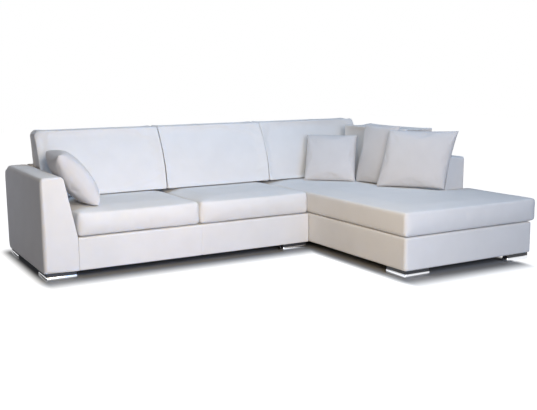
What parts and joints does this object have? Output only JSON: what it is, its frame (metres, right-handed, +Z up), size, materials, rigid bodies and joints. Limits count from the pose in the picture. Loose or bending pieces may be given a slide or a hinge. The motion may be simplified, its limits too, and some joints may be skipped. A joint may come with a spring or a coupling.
{
  "type": "corner sofa with chaise",
  "caption": "Corner sofa in two upholstered modules with sloping arms, loose seat, back and side cushions, throw pillows and chromed L-shaped feet.",
  "frame": {"origin": "on the floor below the middle of the whole sofa's bounding box", "axes": "+X to the right seen from the front, along the back; +Y to the rear; +Z up"},
  "size_m": [2.93, 2, 0.8556],
  "materials": {
    "cover_fabric": "off-white woven upholstery cloth, matt",
    "pillow_fabric": "pale lavender-grey woven cloth, matt",
    "timber": "planed softwood, unfinished",
    "plywood": "birch plywood, unfinished",
    "foam": "open-cell upholstery foam",
    "elastic_webbing": "woven elastic strap",
    "black_cloth": "black lining cloth",
    "chrome_metal": "polished chromium plate",
    "black_plastic": "moulded, matt",
    "zinc_steel": "zinc-plated fastener steel"
  },
  "bodies": {
    "frame": {"sofa_long_rails": "timber", "sofa_cross_rails": "timber", "sofa_webbing": "elastic_webbing", "sofa_deck_foam": "foam", "sofa_base_cover": "cover_fabric", "sofa_dust_cover": "black_cloth", "left_arm_panels": "plywood", "left_arm_boards": "timber", "left_arm_cover": "cover_fabric", "sofa_back_ribs": "plywood", "sofa_back_boards": "timber", "sofa_back_cover": "cover_fabric", "chaise_long_rails": "timber", "chaise_cross_rails": "timber", "chaise_webbing": "elastic_webbing", "chaise_deck_foam": "foam", "chaise_base_cover": "cover_fabric", "chaise_dust_cover": "black_cloth", "right_arm_panels": "plywood", "right_arm_boards": "timber", "right_arm_cover": "cover_fabric", "chaise_back_ribs": "plywood", "chaise_back_boards": "timber", "chaise_back_cover": "cover_fabric", "corner_blocks": "timber", "module_bolts": "zinc_steel", "module_nuts": "zinc_steel", "foot_spacers": "black_plastic", "foot_screws": "zinc_steel", "foot_left_front": "chrome_metal", "foot_left_rear": "chrome_metal", "foot_inner_front": "chrome_metal", "foot_inner_rear": "chrome_metal", "foot_chaise_inner_front": "chrome_metal", "foot_chaise_inner_rear": "chrome_metal", "foot_chaise_front": "chrome_metal", "foot_chaise_rear": "chrome_metal"},
    "seat_left": {"seat_cushion_left": "cover_fabric", "seat_core_left": "foam"},
    "seat_right": {"seat_cushion_right": "cover_fabric", "seat_core_right": "foam"},
    "chaise_seat": {"chaise_cushion": "cover_fabric", "chaise_core": "foam"},
    "back_left": {"back_cushion_left": "cover_fabric", "back_core_left": "foam"},
    "back_middle": {"back_cushion_middle": "cover_fabric", "back_core_middle": "foam"},
    "back_right": {"back_cushion_right": "cover_fabric", "back_core_right": "foam"},
    "side_rest": {"side_cushion": "cover_fabric", "side_core": "foam"},
    "arm_pillow": {"pillow_left_arm": "pillow_fabric"},
    "corner_pillow": {"pillow_corner": "pillow_fabric"},
    "side_pillow": {"pillow_side": "pillow_fabric"},
    "front_pillow": {"pillow_front": "pillow_fabric"}
  },
  "joints": [
    {"name": "seat_left_lift", "type": "slide", "parent": "frame", "child": "seat_left", "axis": [0, 0, 1], "range_m": [0, 0.62]},
    {"name": "seat_right_lift", "type": "slide", "parent": "frame", "child": "seat_right", "axis": [0, 0, 1], "range_m": [0, 0.62]},
    {"name": "chaise_seat_lift", "type": "slide", "parent": "frame", "child": "chaise_seat", "axis": [0, 0, 1], "range_m": [0, 0.62]},
    {"name": "back_left_lift", "type": "slide", "parent": "seat_left", "child": "back_left", "axis": [0, 0.1971, 0.9804], "range_m": [0, 0.46]},
    {"name": "back_middle_lift", "type": "slide", "parent": "seat_right", "child": "back_middle", "axis": [0, 0.1971, 0.9804], "range_m": [0, 0.46]},
    {"name": "back_right_lift", "type": "slide", "parent": "chaise_seat", "child": "back_right", "axis": [0, 0.1971, 0.9804], "range_m": [0, 0.46]},
    {"name": "side_rest_lift", "type": "slide", "parent": "chaise_seat", "child": "side_rest", "axis": [0.1971, 0, 0.9804], "range_m": [0, 0.46]},
    {"name": "arm_pillow_lift", "type": "slide", "parent": "seat_left", "child": "arm_pillow", "axis": [0, 0, 1], "range_m": [0, 0.46]},
    {"name": "corner_pillow_lift", "type": "slide", "parent": "back_right", "child": "corner_pillow", "axis": [0, 0, 1], "range_m": [0, 0.46]},
    {"name": "side_pillow_lift", "type": "slide", "parent": "side_rest", "child": "side_pillow", "axis": [0, 0, 1], "range_m": [0, 0.46]},
    {"name": "front_pillow_lift", "type": "slide", "parent": "side_pillow", "child": "front_pillow", "axis": [0, 0, 1], "range_m": [0, 0.46]}
  ]
}
